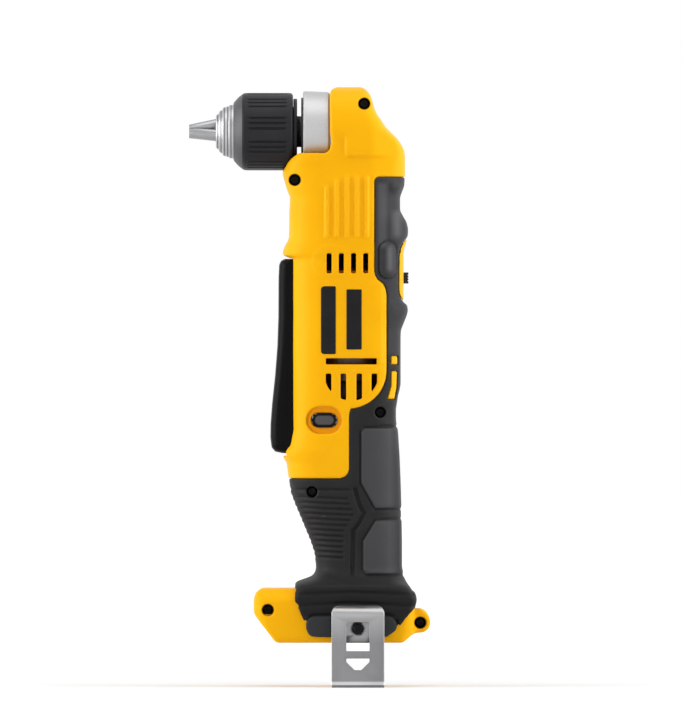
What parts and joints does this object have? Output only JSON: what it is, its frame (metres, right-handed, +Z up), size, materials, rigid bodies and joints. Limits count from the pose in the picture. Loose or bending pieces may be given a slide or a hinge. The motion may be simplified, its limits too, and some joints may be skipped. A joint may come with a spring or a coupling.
{
  "type": "right angle drill",
  "caption": "Battery right angle drill with keyless chuck, paddle switch, speed shifter, direction button, bevel and planetary gears, motor and belt hook.",
  "frame": {"origin": "on the motor axis, in the plane of the underside of the foot where the battery slides on", "axes": "+Z up the motor axis to the head, -X to the chuck, Y across the two housing halves"},
  "size_m": [0.1301, 0.0778, 0.3234],
  "materials": {
    "yellow": "fine grain",
    "rubber": "matt",
    "black": "satin",
    "steel": "machined",
    "bright": "cast, blasted",
    "brass": "plain",
    "copper": "copper wire",
    "lens": "clear",
    "zinc": "zinc plated"
  },
  "bodies": {
    "housing": {"housing_left": "yellow", "housing_right": "yellow", "grip_left": "rubber", "grip_right": "rubber", "side_plates": "black", "gear_case": "bright", "nose_ring": "bright", "front_bearing": "steel", "rear_bush": "brass", "spindle_seal": "black", "pinion_bearing": "steel", "ring_gear": "steel", "gearbox_tube": "black", "motor_can": "steel", "magnets": "black", "end_bell": "black", "brushes": "black", "paddle_pin": "steel", "switch_body": "black", "worklight_lens": "lens", "worklight_led": "lens", "terminal_block": "black", "contact_blades": "brass", "belt_hook": "zinc", "hook_screw": "steel", "hook_inserts": "brass", "housing_screws": "steel"},
    "spindle": {"spindle": "steel", "bevel_gear": "steel", "chuck_body": "steel", "chuck_screw": "steel", "rear_collar": "black"},
    "sleeve": {"chuck_sleeve": "black", "jaw_nut": "brass"},
    "jaw_1": {"jaw_1": "steel"},
    "jaw_2": {"jaw_2": "steel"},
    "jaw_3": {"jaw_3": "steel"},
    "output": {"bevel_pinion": "steel", "output_carrier": "steel"},
    "first_carrier": {"first_carrier": "steel"},
    "planet_low_1": {"planet_low_1": "steel"},
    "planet_low_2": {"planet_low_2": "steel"},
    "planet_low_3": {"planet_low_3": "steel"},
    "planet_high_1": {"planet_high_1": "steel"},
    "planet_high_2": {"planet_high_2": "steel"},
    "planet_high_3": {"planet_high_3": "steel"},
    "rotor": {"motor_shaft": "steel", "rotor_core": "copper", "commutator": "copper", "cooling_fan": "black"},
    "shifter": {"shift_button": "black", "shift_fork": "steel", "shift_ring": "steel"},
    "paddle": {"paddle": "black"},
    "plunger": {"switch_plunger": "black"},
    "direction": {"direction_button": "black"}
  },
  "joints": [
    {"name": "spindle_spin", "type": "hinge", "parent": "housing", "child": "spindle", "pos_m": [0, 0, 0.2756], "axis": [-1, 0, 0], "continuous": true},
    {"name": "sleeve_turn", "type": "hinge", "parent": "spindle", "child": "sleeve", "pos_m": [-0.045, 0, 0.2756], "axis": [-1, 0, 0], "range_deg": [0, 3600]},
    {"name": "jaw_slide_1", "type": "slide", "parent": "spindle", "child": "jaw_1", "axis": [0.9781, 0, 0.2079], "range_m": [0, 0.021]},
    {"name": "jaw_slide_2", "type": "slide", "parent": "spindle", "child": "jaw_2", "axis": [0.9781, 0.1801, -0.104], "range_m": [0, 0.021]},
    {"name": "jaw_slide_3", "type": "slide", "parent": "spindle", "child": "jaw_3", "axis": [0.9781, -0.1801, -0.104], "range_m": [0, 0.021]},
    {"name": "output_spin", "type": "hinge", "parent": "housing", "child": "output", "pos_m": [0, 0, 0.245], "axis": [0, 0, 1], "continuous": true},
    {"name": "carrier_spin", "type": "hinge", "parent": "housing", "child": "first_carrier", "pos_m": [0, 0, 0.226], "axis": [0, 0, 1], "continuous": true},
    {"name": "rotor_spin", "type": "hinge", "parent": "housing", "child": "rotor", "pos_m": [0, 0, 0.17], "axis": [0, 0, 1], "continuous": true},
    {"name": "planet_low_spin_1", "type": "hinge", "parent": "first_carrier", "child": "planet_low_1", "pos_m": [0.0105, 0, 0.2215], "axis": [0, 0, 1], "continuous": true},
    {"name": "planet_low_spin_2", "type": "hinge", "parent": "first_carrier", "child": "planet_low_2", "pos_m": [-0.00525, 0.00909, 0.2215], "axis": [0, 0, 1], "continuous": true},
    {"name": "planet_low_spin_3", "type": "hinge", "parent": "first_carrier", "child": "planet_low_3", "pos_m": [-0.00525, -0.00909, 0.2215], "axis": [0, 0, 1], "continuous": true},
    {"name": "planet_high_spin_1", "type": "hinge", "parent": "output", "child": "planet_high_1", "pos_m": [0.0126, 0, 0.232], "axis": [0, 0, 1], "continuous": true},
    {"name": "planet_high_spin_2", "type": "hinge", "parent": "output", "child": "planet_high_2", "pos_m": [-0.0063, 0.01091, 0.232], "axis": [0, 0, 1], "continuous": true},
    {"name": "planet_high_spin_3", "type": "hinge", "parent": "output", "child": "planet_high_3", "pos_m": [-0.0063, -0.01091, 0.232], "axis": [0, 0, 1], "continuous": true},
    {"name": "speed_shift", "type": "slide", "parent": "housing", "child": "shifter", "axis": [0, 0, -1], "range_m": [0, 0.004]},
    {"name": "paddle_press", "type": "hinge", "parent": "housing", "child": "paddle", "pos_m": [-0.0266, 0, 0.1981], "axis": [0, -1, 0], "range_deg": [0, 4], "stiffness_Nm_per_rad": 2},
    {"name": "plunger_press", "type": "slide", "parent": "housing", "child": "plunger", "axis": [1, 0, 0], "range_m": [0, 0.00646]},
    {"name": "direction_slide", "type": "slide", "parent": "housing", "child": "direction", "axis": [0, 1, 0], "range_m": [-0.0025, 0.0025]}
  ],
  "couplings": [
    {"joint": "jaw_slide_1", "follows": "sleeve_turn", "m_per_rad": 0.00033423},
    {"joint": "jaw_slide_2", "follows": "sleeve_turn", "m_per_rad": 0.00033423},
    {"joint": "jaw_slide_3", "follows": "sleeve_turn", "m_per_rad": 0.00033423},
    {"joint": "output_spin", "follows": "spindle_spin", "ratio": 2},
    {"joint": "carrier_spin", "follows": "spindle_spin", "ratio": 6},
    {"joint": "rotor_spin", "follows": "spindle_spin", "ratio": 30},
    {"joint": "planet_low_spin_1", "follows": "spindle_spin", "ratio": -16},
    {"joint": "planet_low_spin_2", "follows": "spindle_spin", "ratio": -16},
    {"joint": "planet_low_spin_3", "follows": "spindle_spin", "ratio": -16},
    {"joint": "planet_high_spin_1", "follows": "spindle_spin", "ratio": -8},
    {"joint": "planet_high_spin_2", "follows": "spindle_spin", "ratio": -8},
    {"joint": "planet_high_spin_3", "follows": "spindle_spin", "ratio": -8},
    {"joint": "plunger_press", "follows": "paddle_press", "m_per_rad": 0.0926}
  ]
}
